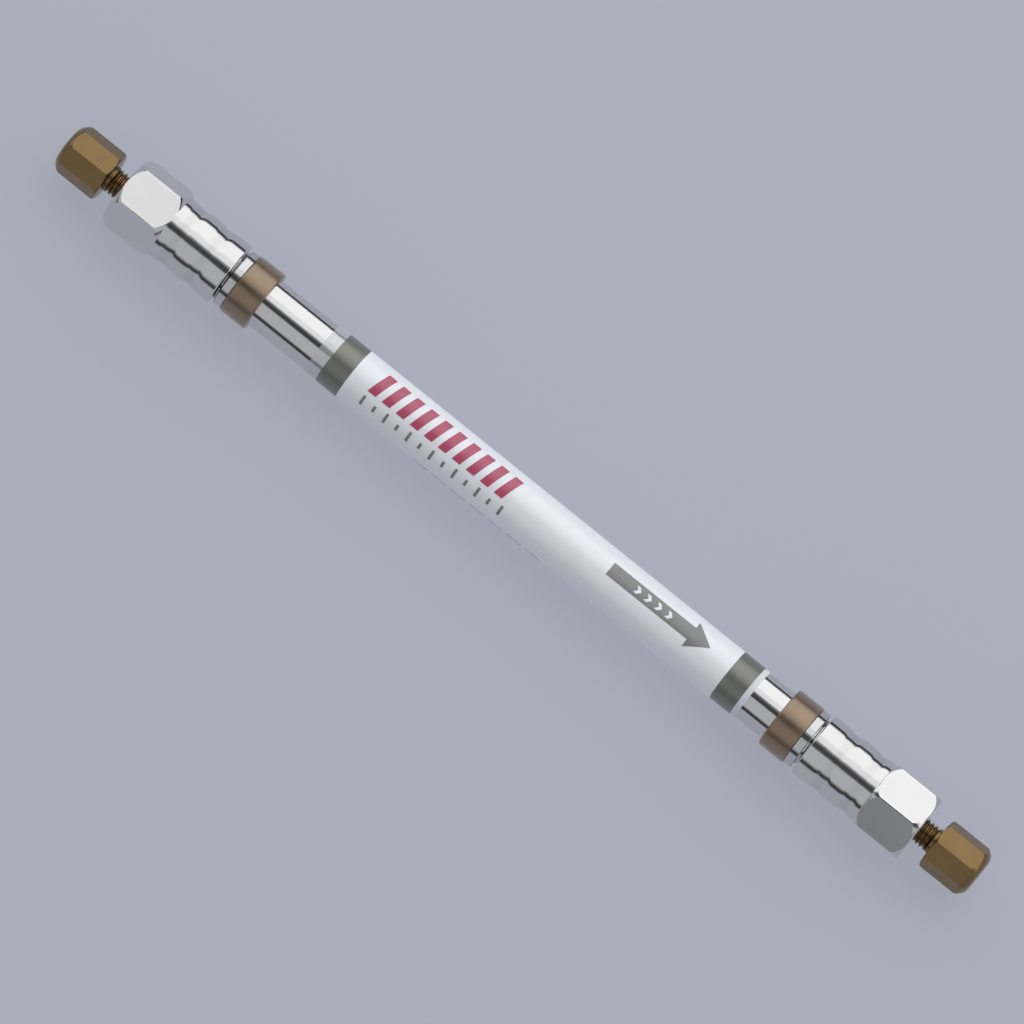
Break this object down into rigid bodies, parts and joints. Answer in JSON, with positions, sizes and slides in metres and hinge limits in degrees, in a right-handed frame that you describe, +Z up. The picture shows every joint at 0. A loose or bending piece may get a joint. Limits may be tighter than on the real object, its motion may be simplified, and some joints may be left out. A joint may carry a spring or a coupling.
{
  "type": "hplc column",
  "caption": "Steel liquid chromatography column with hexagonal grooved end fittings, colour rings, wrap label, packed bed and unscrewing shipping plugs.",
  "frame": {"origin": "under the middle of the column, on the surface that it lies on", "axes": "+X along the column in the direction of flow, from inlet to outlet; +Z up"},
  "size_m": [0.1948, 0.014, 0.0137],
  "materials": {
    "polished_tube": "polished stainless steel with faint lengthwise drawing lines",
    "machined_steel": "turned and milled stainless steel, fine tool marks",
    "sintered_steel": "sintered stainless steel, matt and porous",
    "silica_packing": "packed fine white silica",
    "seal_plastic": "natural engineering plastic, matt",
    "brown_ring": "brown moulded plastic, satin",
    "brown_plug": "dark olive brown moulded plastic, satin",
    "clear_film": "clear film laminate, glossy",
    "label_white": "white printed film, glossy",
    "label_grey": "grey printed film, glossy",
    "ink_crimson": "crimson ink under gloss laminate",
    "ink_grey": "grey ink under gloss laminate"
  },
  "bodies": {
    "column": {"column_tube": "polished_tube", "packed_bed": "silica_packing", "label_film": "clear_film", "label_white_field": "label_white", "label_inlet_band": "label_grey", "label_outlet_band": "label_grey", "label_red_bars": "ink_crimson", "label_grey_ticks": "ink_grey", "label_fine_lines": "ink_grey", "label_flow_arrow": "ink_grey", "inlet_frit": "sintered_steel", "inlet_frit_seal": "seal_plastic", "inlet_distributor": "polished_tube", "inlet_end_fitting": "machined_steel", "inlet_stop_collar": "machined_steel", "inlet_colour_ring": "brown_ring", "outlet_frit": "sintered_steel", "outlet_frit_seal": "seal_plastic", "outlet_distributor": "polished_tube", "outlet_end_fitting": "machined_steel", "outlet_stop_collar": "machined_steel", "outlet_colour_ring": "brown_ring"},
    "inlet_plug_body": {"inlet_plug": "brown_plug"},
    "outlet_plug_body": {"outlet_plug": "brown_plug"}
  },
  "joints": [
    {"name": "inlet_plug_draw", "type": "slide", "parent": "column", "child": "inlet_plug_body", "axis": [-1, 0, 0], "range_m": [0, 0.01]},
    {"name": "outlet_plug_draw", "type": "slide", "parent": "column", "child": "outlet_plug_body", "axis": [1, 0, 0], "range_m": [0, 0.01]}
  ]
}
